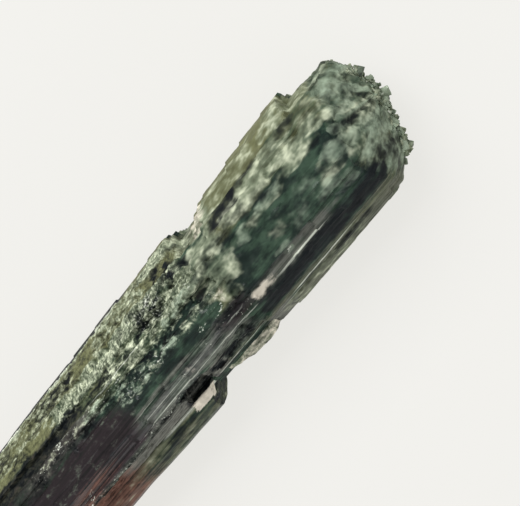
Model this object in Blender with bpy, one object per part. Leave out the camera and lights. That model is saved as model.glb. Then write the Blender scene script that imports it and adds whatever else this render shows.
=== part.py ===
"""A tourmaline crystal lying on one of its long faces.

One intergrown pencil crystal, 52 mm long: a striated column whose bands end in ledges at
different places, a thinner crystal grown along its right side, a thin flake above that
crystal's broken end, a rough domed termination of many small parallel tips at +X and a
broken end at -X. Everything is fused into one solid. The column runs along X, the face it
rests on lies at z = 0.
"""

import math
import random

import bmesh
import bpy
import numpy as np
from mathutils import Matrix

MM = 0.001
NAME = "tourmaline_crystal"

# Driving dimensions.
LENGTH = 52 * MM
WIDTH = 10.6 * MM
HEIGHT = 9.6 * MM
TAIL_X = -LENGTH / 2
COLUMN_TOP_X = 21.5 * MM
TIP_X = LENGTH / 2
SIDE_SHIFT = 0.165 * MM
TAPER_PER_METRE = 1.4
LEDGE_RUN = 0.10 * MM
STATION_STEP = 2.8 * MM
BAND_INSET = 0.07
AXIS_Z = 4.7 * MM

# The column's outline, seen from the head: each band is one long face of the prism. A row
# gives the corner where the band starts, as (y, z) in mm, and how far the band stands
# proud of the outline, as (x, proud) steps in mm from the tail to the head.
LEFT_NOTCH = (
    (7.1, -0.22), (7.8, -0.95), (9.2, -0.80), (9.9, -0.55), (10.7, -0.28), (11.5, -0.12),
    (14.6, 0.00), (16.4, 0.12), (19.0, 0.18), (20.8, -0.75),
)
BANDS = (
    ((5.30, 3.6), ((-26, 0.06), *LEFT_NOTCH)),
    ((5.05, 5.0), ((-26, 0.06), *LEFT_NOTCH)),
    ((4.56, 6.2), ((-26, 0.00), (-9.0, 0.14), (3.0, -0.10), (7.8, -0.80), (10.7, 0.00), (20.8, -0.55))),
    ((3.61, 7.5), ((-26, 0.10), (-12.0, -0.08), (-1.0, 0.10), (7.8, -0.14), (10.4, 0.14))),
    ((2.66, 8.4), ((-26, -0.32), (-3.0, -0.18), (2.2, -0.40), (4.6, -0.12), (8.2, 0.12), (17.0, 0.00))),
    ((1.86, 8.9), ((-26, 0.16), (-5.0, 0.02), (4.2, 0.14), (8.4, -0.05), (10.2, 0.08))),
    ((1.06, 9.25), ((-26, 0.00), (-6.0, -0.14), (6.6, -0.50), (8.7, 0.16))),
    ((0.33, 9.45), ((-26, 0.05), (-2.0, -0.10), (7.9, 0.17))),
    ((-0.77, 9.5), ((-26, -0.05), (0.0, 0.04), (8.8, 0.22))),
    ((-1.86, 9.25), ((-26, 0.02), (-3.0, -0.08), (6.2, 0.08), (9.8, -0.06))),
    ((-2.81, 8.7), ((-26, 0.26), (-18.0, 0.10), (-12.0, 0.28), (-4.0, 0.02), (8.0, 0.10))),
    ((-3.25, 8.2), ((-26, 0.00), (-0.6, -1.15), (1.9, -0.10), (8.0, 0.02))),
    ((-4.12, 6.9), ((-26, -0.20), (-0.6, -0.70), (1.9, -0.30), (8.0, 0.00))),
    ((-4.64, 5.7), ((-26, -0.55), (3.0, -0.45), (8.0, -0.06), (9.9, 0.12), (21.0, -0.05))),
    ((-5.25, 4.0), ((-26, -0.50), (3.0, -0.35), (8.0, -0.04), (9.9, 0.12), (21.0, -0.05))),
    ((-5.10, 2.6), ((-26, 0.00), (-14.0, -0.25), (3.0, 0.00), (17.0, -0.20))),
    ((-4.30, 1.2), ((-26, -0.10), (-6.0, 0.10), (11.2, -0.05))),
    ((-3.10, 0.0), ((-26, 0.00),)),
    ((3.20, 0.0), ((-26, 0.00), (-15.0, -0.15), (3.0, 0.10), (14.0, -0.12))),
    ((4.50, 1.3), ((-26, 0.05), (-5.0, -0.20), (7.75, -0.55), (10.7, -0.05), (21.0, -0.60))),
    ((5.10, 2.5), ((-26, 0.06), *LEFT_NOTCH)),
)
REST_BAND = 17

# The crystal along the right side: its corners at its broken end, as (y, z) in mm. The end
# slants back from SIDE_INNER_Y outwards.
SIDE_OUTLINE = (
    (-5.95, 4.5), (-5.75, 5.3), (-5.05, 6.3), (-4.2, 6.6),
    (-3.4, 5.0), (-3.8, 3.3), (-5.0, 2.9), (-5.7, 3.5),
)
SIDE_TOP_X = 1.35 * MM
SIDE_INNER_Y = -4.2 * MM
SIDE_TOP_SLANT = (0.85, 0.12)
SIDE_LEAN = 0.5 * MM

# The thin flake above it.
FLAKE_X = (2.5 * MM, 8.3 * MM)
FLAKE_OUTLINE = (
    (2.5, -4.7), (3.3, -5.0), (4.0, -5.08), (4.6, -5.32), (5.9, -5.42), (7.3, -5.38), (8.3, -4.9),
)
FLAKE_Z = (4.3 * MM, 4.75 * MM)

# The rough termination is a dome that peaks left of and below the middle.
DOME_PEAK = (1.0 * MM, 4.0 * MM)
DOME_FALL_LEFT = 32.0
DOME_FALL_RIGHT = 80.0
DOME_FALL_UP = 93.0
DOME_DROP = 0.25 * MM
RIM_BELOW_DOME = 0.4 * MM
TIP_SPACING = 1.14 * MM
TIP_RADIUS = (0.64 * MM, 0.90 * MM)
TIP_ROUGHNESS = 0.45 * MM
TIP_LEAN = 4.0
TIP_MARGIN = 1.05 * MM
TIP_SHIFT = -0.35 * MM
TIP_SIDES = 6
TIP_ROOT_X = 19.0 * MM
CAP_BELOW_DOME = 0.55 * MM
LEDGE_SEED = 7
BREAK_SEED = 8
TIP_SEED = 9

# The broken end.
BREAK_DEPTH = 1.5 * MM

# Small ledges between the named ones, on the bands that grew unevenly.
ROUGH_BANDS = (0, 1, 2, 3, 4, 5, 6, 7, 8, 9, 10, 15, 16, 18, 19, 20)
ROUGH_STEP = (2.6 * MM, 5.2 * MM)
ROUGH_HEIGHT = 0.11 * MM


def clear_scene():
    for thing in list(bpy.data.objects):
        bpy.data.objects.remove(thing, do_unlink=True)


def new_collection(name):
    collection = bpy.data.collections.new(name)
    bpy.context.scene.collection.children.link(collection)
    return collection


def crystal_material():
    """Dark bottle-green tourmaline with a glassy face."""
    material = bpy.data.materials.new("tourmaline_green")
    material.use_nodes = True
    shader = material.node_tree.nodes["Principled BSDF"]
    shader.inputs["Base Color"].default_value = (0.055, 0.105, 0.06, 1)
    shader.inputs["Roughness"].default_value = 0.35
    shader.inputs["Metallic"].default_value = 0.0
    shader.inputs["IOR"].default_value = 1.63
    return material


def add_object(name, bm, collection):
    bmesh.ops.recalc_face_normals(bm, faces=bm.faces)
    mesh = bpy.data.meshes.new(name)
    bm.to_mesh(mesh)
    bm.free()
    thing = bpy.data.objects.new(name, mesh)
    collection.objects.link(thing)
    return thing


def placed_on(frame, things):
    """Hangs every object on one empty, which centres the whole crystal on the origin."""
    for thing in things:
        thing.parent = frame


def hide_helper(thing):
    thing.hide_render = True
    thing.display_type = "WIRE"


def ledges_of(index, rng):
    """The (x, proud) steps of a band in metres, with small ledges added on rough bands."""
    steps = [(start * MM, proud * MM) for start, proud in BANDS[index][1]]
    if index not in ROUGH_BANDS:
        return steps
    added = list(steps)
    for (start, proud), (end, _) in zip(steps, steps[1:] + [(COLUMN_TOP_X, 0)]):
        place = start + rng.uniform(*ROUGH_STEP)
        while place < end - ROUGH_STEP[0] / 2:
            added.append((place, proud + rng.uniform(-1, 1) * ROUGH_HEIGHT))
            place += rng.uniform(*ROUGH_STEP)
    return sorted(added)


def proud_at(steps, x):
    """How far a band stands out at x: the last step that starts before x."""
    return [proud for start, proud in steps if start <= x][-1]


def stations(bands):
    """Places along X where the outline is drawn: one on each side of every ledge, and
    at most STATION_STEP apart."""
    ledges = sorted({start for steps in bands for start, _ in steps[1:]})
    places = [TAIL_X]
    for ledge in ledges:
        if ledge - places[-1] > 2 * LEDGE_RUN:
            places += [ledge - LEDGE_RUN / 2, ledge + LEDGE_RUN / 2]
    places.append(COLUMN_TOP_X)
    filled = [places[0]]
    for place in places[1:]:
        gap = place - filled[-1]
        pieces = max(1, round(gap / STATION_STEP))
        start = filled[-1]
        filled += [start + gap * (k + 1) / pieces for k in range(pieces)]
    return filled


def ring(x, bands):
    """The outline at x: two corners for each band, moved out or in along their radius."""
    corners = [np.array(corner) * MM for corner, _ in BANDS]
    axis = np.array([0, AXIS_Z])
    scale = 1 + TAPER_PER_METRE * x
    points = []
    for index, steps in enumerate(bands):
        start, end = corners[index], corners[(index + 1) % len(BANDS)]
        inset = 0.0 if index == REST_BAND else BAND_INSET
        for share in (inset, 1 - inset):
            spoke = start + (end - start) * share - axis
            reach = np.linalg.norm(spoke) + proud_at(steps, x)
            y, z = (axis + spoke / np.linalg.norm(spoke) * reach) * scale
            points.append((x, y, max(z, 0.0)))
    return points


def dome_x(y, z):
    """How far the termination reaches at (y, z)."""
    across, up = y - DOME_PEAK[0], z - DOME_PEAK[1]
    fall = DOME_FALL_LEFT if across > 0 else DOME_FALL_RIGHT
    return TIP_X - DOME_DROP - fall * across**2 - DOME_FALL_UP * up**2


def break_x(y, z, rng):
    """The uneven broken end: two crossing swells and a little chipping."""
    swell = 0.5 + 0.3 * math.sin(y / (1.4 * MM) + 0.6) + 0.2 * math.sin(z / (1.0 * MM) - 0.4 * y / MM)
    return TAIL_X + BREAK_DEPTH * (swell + rng.uniform(-0.08, 0.08))


def broken_ring(points, rng):
    """The outline at the tail, with each corner snapped off at its own place."""
    return [(break_x(y, z, rng), y, z) for _, y, z in points]


def bridge(bm, one, other):
    for k in range(len(one)):
        after = (k + 1) % len(one)
        bm.faces.new((one[k], one[after], other[after], other[k]))


def cap(bm, rim, shares, x_at):
    """Closes a rim with smaller rings, one for each share of its size, and a middle
    point. x_at(y, z) says how far along X a point lies."""
    centre = np.mean([vert.co for vert in rim], axis=0)
    outer = rim
    for share in shares:
        inner = []
        for vert in rim:
            _, y, z = centre + (np.array(vert.co) - centre) * share
            inner.append(bm.verts.new((x_at(y, z), y, z)))
        bridge(bm, outer, inner)
        outer = inner
    hub = bm.verts.new((x_at(centre[1], centre[2]), centre[1], centre[2]))
    for k, vert in enumerate(outer):
        bm.faces.new((vert, outer[(k + 1) % len(outer)], hub))


def column(collection, bands, rng):
    """The striated column, lofted through the outline at every station."""
    bm = bmesh.new()
    rings = [ring(x, bands) for x in stations(bands)]
    rings[0] = broken_ring(rings[0], rng)
    rings.append([(dome_x(y, z) - RIM_BELOW_DOME, y, z) for _, y, z in rings[-1]])
    made = [[bm.verts.new(point) for point in points] for points in rings]
    for one, other in zip(made, made[1:]):
        bridge(bm, one, other)
    cap(bm, made[0], (0.8, 0.5), lambda y, z: break_x(y, z, rng))
    cap(bm, made[-1], (0.88, 0.45), lambda y, z: dome_x(y, z) - CAP_BELOW_DOME)
    return add_object(NAME, bm, collection)


def extruded(outline, x_from, x_to):
    """A prism along X from an outline of (y, z) in mm."""
    bm = bmesh.new()
    verts = [bm.verts.new((x_from, y * MM, z * MM)) for y, z in outline]
    face = bm.faces.new(verts)
    grown = bmesh.ops.extrude_face_region(bm, geom=[face])
    far = [item for item in grown["geom"] if isinstance(item, bmesh.types.BMVert)]
    bmesh.ops.translate(bm, verts=far, vec=(x_to - x_from, 0, 0))
    return bm, far


def side_crystal(collection):
    """The thinner crystal on the right, leaning out towards its slanted, broken end."""
    bm, far = extruded(SIDE_OUTLINE, TAIL_X + 1.2 * MM, SIDE_TOP_X)
    for vert in bm.verts:
        if vert not in far:
            vert.co.y += SIDE_LEAN
    for vert in far:
        outwards, upwards = SIDE_INNER_Y - vert.co.y, vert.co.z - AXIS_Z
        vert.co.x -= outwards * SIDE_TOP_SLANT[0] + upwards * SIDE_TOP_SLANT[1]
    thing = add_object("side_crystal", bm, collection)
    hide_helper(thing)
    return thing


def flake(collection):
    """The thin flake that stands out from the right edge above the side crystal."""
    bm = bmesh.new()
    outer = [bm.verts.new((x * MM, y * MM, FLAKE_Z[0])) for x, y in FLAKE_OUTLINE]
    roots = [bm.verts.new((x, -4.0 * MM, FLAKE_Z[0])) for x in reversed(FLAKE_X)]
    face = bm.faces.new(outer + roots)
    grown = bmesh.ops.extrude_face_region(bm, geom=[face])
    far = [item for item in grown["geom"] if isinstance(item, bmesh.types.BMVert)]
    bmesh.ops.translate(bm, verts=far, vec=(0, 0, FLAKE_Z[1] - FLAKE_Z[0]))
    thing = add_object("flake", bm, collection)
    hide_helper(thing)
    return thing


def tip(collection, number, y, z, rng):
    """One little crystal of the termination: a six-sided prism with a low point."""
    radius = rng.uniform(*TIP_RADIUS)
    top = dome_x(y, z) + rng.uniform(-1, 0.6) * TIP_ROUGHNESS
    bm = bmesh.new()
    bmesh.ops.create_cone(
        bm, cap_ends=True, segments=TIP_SIDES, radius1=radius, radius2=radius * 0.8,
        depth=top - TIP_ROOT_X,
    )
    head = max(bm.faces, key=lambda face: face.calc_center_median().z)
    bmesh.ops.poke(bm, faces=[head], offset=radius * rng.uniform(0.1, 0.5))
    lean = math.radians(TIP_LEAN)
    turn = Matrix.Rotation(rng.uniform(-lean, lean), 4, "Z")
    turn @= Matrix.Rotation(math.pi / 2 + rng.uniform(-lean, lean), 4, "Y")
    turn @= Matrix.Rotation(rng.uniform(0, math.tau), 4, "Z")
    thing = add_object(f"tip_{number:02d}", bm, collection)
    thing.matrix_world = Matrix.Translation(((top + TIP_ROOT_X) / 2, y, z)) @ turn
    hide_helper(thing)


def inside_outline(y, z, outline, margin):
    """Whether (y, z) lies inside the outline, at least margin from its every side."""
    points = [np.array(point[1:]) for point in outline[::2]]
    for one, other in zip(points, points[1:] + points[:1]):
        along = other - one
        normal = np.array([along[1], -along[0]]) / np.linalg.norm(along)
        middle = np.array([0, AXIS_Z])
        if np.dot(normal, one - middle) < 0:
            normal = -normal
        if np.dot(normal, one - np.array([y, z])) < margin:
            return False
    return True


def termination(collection, bands, rng):
    """Tips on a staggered grid over the outline, a little apart from each other."""
    number = 0
    outline = ring(COLUMN_TOP_X, bands)
    rows = int(HEIGHT / TIP_SPACING) + 2
    columns = int(WIDTH / TIP_SPACING) + 2
    for row in range(rows):
        for place in range(columns):
            y = (place - columns / 2 + 0.5 * (row % 2) + rng.uniform(-0.22, 0.22)) * TIP_SPACING
            z = (row + 0.5 + rng.uniform(-0.22, 0.22)) * TIP_SPACING * 0.9
            if inside_outline(y - TIP_SHIFT, z, outline, TIP_MARGIN):
                tip(collection, number, y, z, rng)
                number += 1


def build():
    clear_scene()
    rng = random.Random(LEDGE_SEED)
    shown = new_collection(NAME)
    grown = new_collection("grown_on")
    bands = [ledges_of(index, rng) for index in range(len(BANDS))]
    body = column(shown, bands, random.Random(BREAK_SEED))
    side_crystal(grown)
    flake(grown)
    termination(grown, bands, random.Random(TIP_SEED))
    join = body.modifiers.new("join", "BOOLEAN")
    join.operation = "UNION"
    join.solver = "EXACT"
    join.operand_type = "COLLECTION"
    join.collection = grown
    body.data.materials.append(crystal_material())
    frame = bpy.data.objects.new("crystal_frame", None)
    frame.location.y = SIDE_SHIFT
    shown.objects.link(frame)
    placed_on(frame, [body, *grown.objects])


build()
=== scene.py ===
"""The looks of a tourmaline crystal that lies on one of its long faces.

The column is one surface worked out from the same outline and ledges as the solid, with
striations, scales, lumps, pits and a granular head added as relief. A thinner crystal and a
thin flake grow along its right side, and little crystals crust the head. Lengths on the
crystal are in millimetres, and those of the studio in metres.
"""

import math
import random

import bpy
import numpy as np
from mathutils import Matrix, Vector


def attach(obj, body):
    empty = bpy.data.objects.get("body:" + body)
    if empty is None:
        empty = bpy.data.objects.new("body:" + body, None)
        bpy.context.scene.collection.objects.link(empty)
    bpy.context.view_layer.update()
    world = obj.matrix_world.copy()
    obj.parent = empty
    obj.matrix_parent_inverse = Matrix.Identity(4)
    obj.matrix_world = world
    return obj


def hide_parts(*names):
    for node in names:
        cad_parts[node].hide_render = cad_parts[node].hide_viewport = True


bl_info = {
    "name": "Tourmaline Crystal",
    "version": (1, 0, 0),
    "blender": (4, 5, 0),
    "location": "3D View > Sidebar > Tourmaline",
    "description": "Builds the surface, crust and studio of a green tourmaline crystal",
    "category": "Add Mesh",
}

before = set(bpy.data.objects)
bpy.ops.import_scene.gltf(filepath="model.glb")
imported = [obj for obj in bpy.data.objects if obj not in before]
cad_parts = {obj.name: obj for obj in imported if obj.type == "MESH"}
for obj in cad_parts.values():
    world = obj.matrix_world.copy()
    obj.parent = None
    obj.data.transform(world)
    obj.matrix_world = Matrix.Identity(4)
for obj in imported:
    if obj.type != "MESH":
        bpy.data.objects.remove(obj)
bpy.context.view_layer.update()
NODE = "tourmaline_crystal"
MATERIAL = "green_tourmaline"
BODY = "root"
MM = 0.001

# Sizes shared with the solid.
TAIL_X = -26.0
COLUMN_TOP_X = 21.5
TIP_X = 26.0
SIDE_SHIFT = 0.165
TAPER = 0.0014
LEDGE_RUN = 0.12
AXIS_Z = 4.7
DOME_PEAK = (1.0, 4.0)
DOME_FALL_LEFT = 0.032
DOME_FALL_RIGHT = 0.080
DOME_FALL_UP = 0.093
DOME_DROP = 0.25
BREAK_DEPTH = 1.5
RIM_ROUND = 0.45
RIM_SHARPNESS = 9
HEAD_SCALE = 1.03

# How finely the surface is drawn.
FIRST_LOW_BAND = 15
FINE_FROM_X = -17.0
BREAK_RINGS = 18
RISE_RINGS = 20
HEAD_RINGS = 46
FLAKE_GRID = (90, 40)
SHARP_ANGLE = 38

# The studio, in metres.
FLOOR_SIZE = 1.2
FLOOR_PAPER = 0.16
SENSOR = 36.0
CAMERA_AIM = (0.0111, -0.0006, 0.005)

# The outline, seen from the head. Each band is one long face of the prism: the corner
# (y, z) where it starts, and how far it stands proud, as (x, proud) steps from the tail.
LEFT_NOTCH = (
    (7.1, -0.22), (7.8, -0.95), (9.2, -0.80), (9.9, -0.55), (10.7, -0.28), (11.5, -0.12),
    (14.6, 0.00), (16.4, 0.12), (19.0, 0.18), (20.8, -0.75),
)
BANDS = (
    ((5.30, 3.6), ((-26, 0.06), *LEFT_NOTCH)),
    ((5.05, 5.0), ((-26, 0.06), *LEFT_NOTCH)),
    ((4.56, 6.2), ((-26, 0.00), (-9.0, 0.14), (3.0, -0.10), (7.8, -0.80), (10.7, 0.00), (20.8, -0.55))),
    ((3.61, 7.5), ((-26, 0.10), (-12.0, -0.08), (-1.0, 0.10), (7.8, -0.14), (10.4, 0.14))),
    ((2.66, 8.4), ((-26, -0.32), (-3.0, -0.18), (2.2, -0.40), (4.6, -0.12), (8.2, 0.12), (17.0, 0.00))),
    ((1.86, 8.9), ((-26, 0.16), (-5.0, 0.02), (4.2, 0.14), (8.4, -0.05), (10.2, 0.08))),
    ((1.06, 9.25), ((-26, 0.00), (-6.0, -0.14), (6.6, -0.50), (8.7, 0.16))),
    ((0.33, 9.45), ((-26, 0.05), (-2.0, -0.10), (7.9, 0.17))),
    ((-0.77, 9.5), ((-26, -0.05), (0.0, 0.04), (8.8, 0.22))),
    ((-1.86, 9.25), ((-26, 0.02), (-3.0, -0.08), (6.2, 0.08), (9.8, -0.06))),
    ((-2.81, 8.7), ((-26, 0.26), (-18.0, 0.10), (-12.0, 0.28), (-4.0, 0.02), (8.0, 0.10))),
    ((-3.25, 8.2), ((-26, 0.00), (-0.6, -1.15), (1.9, -0.10), (8.0, 0.02))),
    ((-4.12, 6.9), ((-26, -0.20), (-0.6, -0.70), (1.9, -0.30), (8.0, 0.00))),
    ((-4.64, 5.7), ((-26, -0.55), (3.0, -0.45), (8.0, -0.06), (9.9, 0.12), (21.0, -0.05))),
    ((-5.25, 4.0), ((-26, -0.50), (3.0, -0.35), (8.0, -0.04), (9.9, 0.12), (21.0, -0.05))),
    ((-5.10, 2.6), ((-26, 0.00), (-14.0, -0.25), (3.0, 0.00), (17.0, -0.20))),
    ((-4.30, 1.2), ((-26, -0.10), (-6.0, 0.10), (11.2, -0.05))),
    ((-3.10, 0.0), ((-26, 0.00),)),
    ((3.20, 0.0), ((-26, 0.00), (-15.0, -0.15), (3.0, 0.10), (14.0, -0.12))),
    ((4.50, 1.3), ((-26, 0.05), (-5.0, -0.20), (7.75, -0.55), (10.7, -0.05), (21.0, -0.60))),
    ((5.10, 2.5), ((-26, 0.06), *LEFT_NOTCH)),
)
ROUGH_BANDS = (0, 1, 2, 3, 4, 5, 6, 7, 8, 9, 10, 15, 16, 18, 19, 20)
ROUGH_STEP = (2.6, 5.2)
ROUGH_HEIGHT = 0.11
LEDGE_SEED = 7

SIDE_OUTLINE = (
    (-5.95, 4.5), (-5.75, 5.3), (-5.05, 6.3), (-4.2, 6.6),
    (-3.4, 5.0), (-3.8, 3.3), (-5.0, 2.9), (-5.7, 3.5),
)
SIDE_TOP_X = 1.35
SIDE_INNER_Y = -4.2
SIDE_TOP_SLANT = (0.85, 0.12)
SIDE_LEAN = 0.5
FLAKE_OUTLINE = (
    (2.5, -4.7), (3.3, -5.0), (4.0, -5.08), (4.6, -5.32), (5.9, -5.42), (7.3, -5.38), (8.3, -4.9),
)
FLAKE_Z = (4.3, 4.75)

# Noise in the surface: the size of its features, in millimetres, as one number or as along,
# across and up, then its seed and, for clouds, its octaves where they aren't three.
CLOUDS = {
    "striations": ((7, 0.3, 0.3), 11, 2), "lumps": ((1.6, 1, 1), 35), "swells": (1.2, 47, 2),
    "pit floor": (0.6, 48), "wander along": ((1.5, 0.7, 0.7), 61), "wander around": ((1.2, 0.6, 0.6), 65),
    "streaks": ((2.6, 0.34, 0.34), 71), "mottle": ((1.5, 1.1, 1.1), 75, 2), "large": (3, 83),
    "break": (2.2, 93), "side lines": ((6, 0.3, 0.3), 111, 2), "side steps": ((3, 0.8, 0.8), 113, 2),
    "side streaks": ((3, 0.4, 0.4), 121), "side mottle": ((0.7, 0.4, 0.4), 123),
    "flake edge": (0.5, 131), "flake waves": ((0.9, 0.5, 9), 133), "flake streaks": ((1.5, 0.3, 0.3), 135),
}
BLOCKS = {
    "scales": ((0.95, 0.34, 1), 23), "chips": ((1.1, 0.42, 0.42), 27), "grains": ((1.7, 1.2, 1.2), 41),
    "small grains": ((0.55, 0.45, 0.45), 45), "break": ((1.4, 1.1, 1.1), 91),
}
# The seeds of the noise that bends the scales, the ledges and the head's edge.
SCALE_BENDS = (21, 22)
LEDGE_BENDS = (31, 32)
HEAD_BENDS = (51, 52)
# Turns (along, around) so that the scales slant across the band.
SCALE_TURN = np.array([[0.5, 0.87, 0], [-0.87, 0.5, 0], [0, 0, 1]])

# Where the granular head starts, as (around, x).
HEAD_EDGE = (
    (0, 22.9), (3.5, 22.7), (5.2, 22.6), (6.6, 23), (8, 22.8), (9.5, 22.7), (11.5, 23.4), (13.5, 23.6),
    (17, 22.8), (30, 22.8),
)
# The faces that look down, the lined ones on the right and the straight ones, in around.
LOW_FACES = (17.6, 31.5)
LINED_FACES = (9.6, 17.8)
STRAIGHT_FACES = (9.8, 17.5)
# Towards the head from here the crystal is hazier.
HAZE_FROM_X = 7.5
LOW_RUST_X = -12.0
LOW_FROST_X = -24.6

# On the side crystal: its tail, and the cream patch, the painted highlight along its edge, the
# painted shade in its groove and the rust on it.
SIDE_TAIL_X = TAIL_X + 1.2
SIDE_CREAM_X = -1.1
SIDE_CREAM_Y = (-4.85, -4.14)
SIDE_CREAM_Z = 5.6
SIDE_HIGHLIGHT_X = -4.5
SIDE_HIGHLIGHT_Y = -4.36
SIDE_GROOVE_Y = -4.16
SIDE_RUST_X = -8.0
FLAKE_ROOT_Y = -4.2

# The crust grows low on the head and on its right.
CRUST_SEED = 12
CRUST_FROM_X = 23.3
CRUST_BELOW_Z = 4.4
CRUST_RIGHT_OF_Y = 2.6
CRUST_SIDES = 6
CRUST_SUNK = 0.85

# The tones and finishes of the surface, kept as one attribute each. Among the tones, shade is
# painted shade, and the white lines and glints are painted highlights. A tone is broken into
# grains by a noise of the material, with a swing and a softness. None: soft where it's hazy.
TONE_GRAINS = {
    "olive": ("streaky", 1.4, 0.45), "grey": ("streaky", 1.4, 0.45), "plum": ("streaky", 1.4, 0.45),
    "rust": ("streaky", 1.4, 0.45), "frost": ("cover", 2.4, None), "ice": ("cover", 2.2, None),
    "shade": ("hollows", 2.2, None), "cream": ("mottle", 1.4, 0.3), "painted_highlight": ("lines", 0.8, 0.3),
    "painted_glint": ("speckle", 2.0, 0.15),
}
FINISHES = ("glass", "smooth", "scaly", "haze", "lined")
# Noise of the material: its repeats in a millimetre, its detail and its distortion.
MATERIAL_NOISE = {
    "mottle": ((1.1, 1.9, 1.9), 5.0, 0.4), "haze": ((0.8, 1.2, 1.2), 2.0, 0.0),
    "speckle": ((4.5, 6.5, 6.5), 2.0, 0.0), "strokes": ((1.8, 4.6, 1.8), 3.0, 0.8),
    "lines": ((0.12, 5.5, 5.5), 3.0, 0.0), "clear": ((0.5, 1.1, 1.1), 3.0, 0.0),
}
SCALE_ANGLE = math.radians(-60)
BUMP_HEIGHT = 0.00010
IOR = 1.63

# The sockets of the material's nodes: the places of a mix of colours, the kinds by how many
# numbers they hold, and the inputs of two groups with their defaults.
MIX_SHARE, MIX_ONE, MIX_OTHER, MIX_RESULT = 0, 6, 7, 2
SOCKET_KINDS = {1: "NodeSocketFloat", 3: "NodeSocketVector", 4: "NodeSocketColor"}
BREAK_SOCKETS = {"Share": 0.0, "Field": 0.5, "Swing": 1.5, "Softness": 0.2}
NOISE_SOCKETS = {"Vector": (0, 0, 0), "Stretch": (1, 1, 1), "Detail": 3.0, "Distortion": 0.0}

# Patches on the column, from the tail to the head, as (x from, x to, around from, around to,
# strength). Around is the length along the outline from its first corner, over the top.
# First the patches of relief, where a pit's strength is its depth in millimetres, then those
# of the tones, then those of the finishes.
SCALY = (
    (-22, 8.6, 1, 4.2, 0.55), (-13.5, -8, 4.2, 5.5, 0.6), (-8.5, 7.2, 4.15, 5.65, 1),
    (3, 8, 5.6, 7.2, 0.8),
)
LUMPY = ((7.2, 11, 4, 10, 1), (9, 21.5, 1.2, 7.6, 1), (12, 22, 7.6, 11, 0.3))
BROKEN = (
    (-12, 8, 6.6, 7.7, 0.7), (-12, -1, 11.9, 13.6, 0.8), (-9, 8.5, 1.8, 3.9, 0.6),
    (1, 7.5, 4.8, 6.5, 0.8), (2, 9, 11.4, 14, 0.8), (7, 10, 6, 11, 1),
)
PITS = (
    (-15.1, 0.8, 5.55, 6.45, 0.08), (-7.4, -5.3, 7.3, 8.2, 0.2), (-0.5, 2.2, 11.9, 13.6, 0.25),
    (1.1, 6.6, 7.5, 8.05, 0.12), (1.6, 4, 4.9, 6.1, 0.22), (2.3, 7, 12.7, 13.4, 0.2),
    (4.4, 6.8, 2.6, 4.2, 0.22), (4.6, 7.1, 11.85, 12.3, 0.2), (6, 6.9, 4.7, 5.45, 0.2),
    (6.3, 9, 9.95, 10.7, 0.15), (6.4, 8.5, 7.3, 8.8, 0.3), (7.3, 8.1, 4.6, 5.5, 0.28),
    (8, 19, 6.65, 7.15, 0.14), (8.2, 8.6, 3, 3.7, 0.2), (11.7, 14.2, 4.6, 5.5, 0.14),
    (14.7, 16.8, 4, 4.7, 0.12), (19, 23.2, 7.15, 7.65, 0.18), (19.3, 21, 4.7, 5.8, 0.2),
    (23.3, 25, 7.9, 8.5, 0.2), (25.2, 25.8, 5.6, 6.7, 0.25),
)
# The first row, a pale rim along the left edge, is a painted highlight.
FROST = (
    (-26, 1.9, 1.12, 1.62, 0.95), (-17, -5, 1.7, 4.2, 0.36), (-14, -3, 6.55, 7.7, 0.14),
    (-9, 7.6, 4.15, 5.6, 0.64), (-6.4, 2, 4.2, 5.5, 0.95), (-5, -2, 8, 8.35, 0.3),
    (-3.6, 2, 5.6, 6.5, 0.26), (-3.2, 1.6, 7.8, 9.1, 0.2), (-3, 8, 5.5, 6.6, 0.4),
    (-3, 8, 6.55, 7.7, 0.44), (-2.6, 3.5, 1.6, 4, 0.52), (3, 8.5, 0.8, 2.6, 0.9),
    (3, 7.6, 5.5, 7.3, 0.66), (3, 8, 8.2, 8.9, 0.42), (7.2, 9.6, 0.2, 4.2, 0.6),
    (7.4, 8.9, 8.7, 9.7, 0.6), (8, 11.7, 4.7, 6.6, 0.95), (8, 10.8, 6.3, 9, 0.8),
    (8, 9.6, 8.6, 9.9, 0.4), (9.4, 11.8, 1.4, 4.4, 1), (9.5, 18, 14.8, 17.4, 0.3),
    (10.3, 17.5, 7.15, 7.75, 0.3), (11, 17, 1.5, 4.3, 0.26), (12.6, 20, 5.2, 6.5, 0.95),
    (13.6, 19.8, 4.4, 6.2, 0.78), (14, 16.8, 8.6, 9.7, 0.12), (17.6, 21.4, 6, 7.3, 1),
    (18.6, 20.8, 6.6, 7.45, 0.7), (18.7, 20.6, 1.7, 4.4, 0.7), (19.2, 21.5, 8.6, 9.8, 0.22),
    (20, 24.6, 2.9, 5.6, 0.1), (20.4, 23.3, 5.8, 6.75, 0.85), (20.5, 24, -0.5, 3.6, 0.6),
    (20.6, 22.6, 1.4, 2.6, 0.6),
)
OLIVE = (
    (-26, 9.5, 0, 4.2, 0.95), (-26, -8.5, 4.1, 5.4, 0.9), (-26, -6, 5.4, 6.6, 0.5),
    (-8.5, 8, 4.1, 7.6, 0.35), (2.2, 22.4, 13.6, 14.6, 0.4), (7.4, 8.9, 8.6, 9.9, 0.9),
    (9.5, 24, -1, 4.3, 1), (10.3, 22, 14.75, 17.45, 0.5), (10.8, 18.6, 4.2, 6.7, 0.55),
    (14, 22.6, 14.3, 17.4, 0.5), (18.6, 25, 2.8, 6.4, 0.45), (22.4, 25, 8.5, 11.2, 0.35),
)
PLUM = (
    (-26, -6, 5.3, 8.2, 0.6), (-26, -3.5, 8, 11.8, 0.95), (6, 9.6, 9.8, 11.4, 0.75),
    (6.4, 8.2, 7.4, 8.4, 0.6),
)
RUST = (
    (-26, -7.5, 10.4, 11.5, 0.52), (-26, -10, 11.4, 12.3, 0.6), (-26, -8, 12.2, 14.6, 1),
    (-26, -11.5, 14.5, 17.5, 0.5), (7.6, 8.6, 8.8, 9.6, 0.3),
)
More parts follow.
